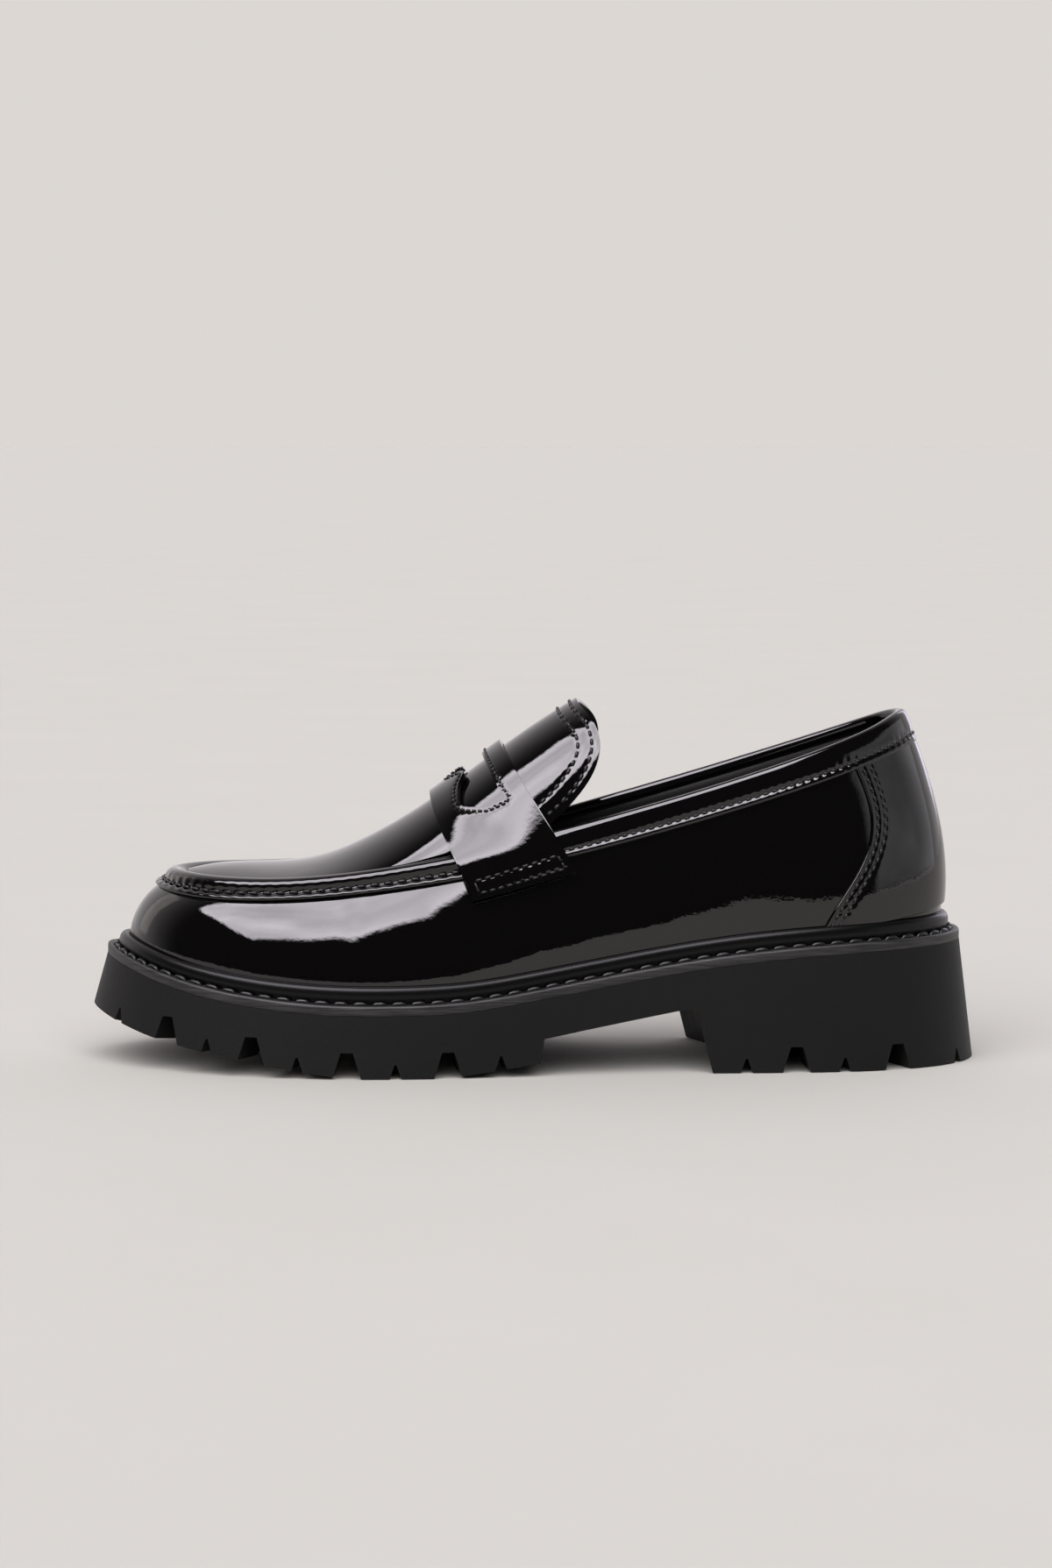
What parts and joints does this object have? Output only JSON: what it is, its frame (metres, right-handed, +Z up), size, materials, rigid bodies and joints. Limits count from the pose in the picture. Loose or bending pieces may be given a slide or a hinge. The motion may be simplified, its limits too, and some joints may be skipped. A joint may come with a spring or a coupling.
{
  "type": "lug sole loafer",
  "caption": "Left penny loafer in glossy black leather with a rolled apron seam, slotted saddle strap and thick lugged rubber sole.",
  "frame": {"origin": "middle of the shoe's footprint on the floor", "axes": "toe towards -X, heel towards +X, inner side towards +Y, +Z up"},
  "size_m": [0.2848, 0.1057, 0.1159],
  "materials": {
    "patent_leather": "patent gloss",
    "lining_leather": "smooth",
    "rand_rubber": "satin",
    "welt_rubber": "matt, buffed",
    "rubber": "matt"
  },
  "bodies": {
    "root": {"outsole": "rubber", "midsole": "welt_rubber", "rand": "rand_rubber", "insole": "lining_leather", "upper": "patent_leather", "collar_strip": "patent_leather", "apron": "patent_leather", "saddle_strap": "patent_leather", "heel_counter": "patent_leather"}
  },
  "joints": []
}
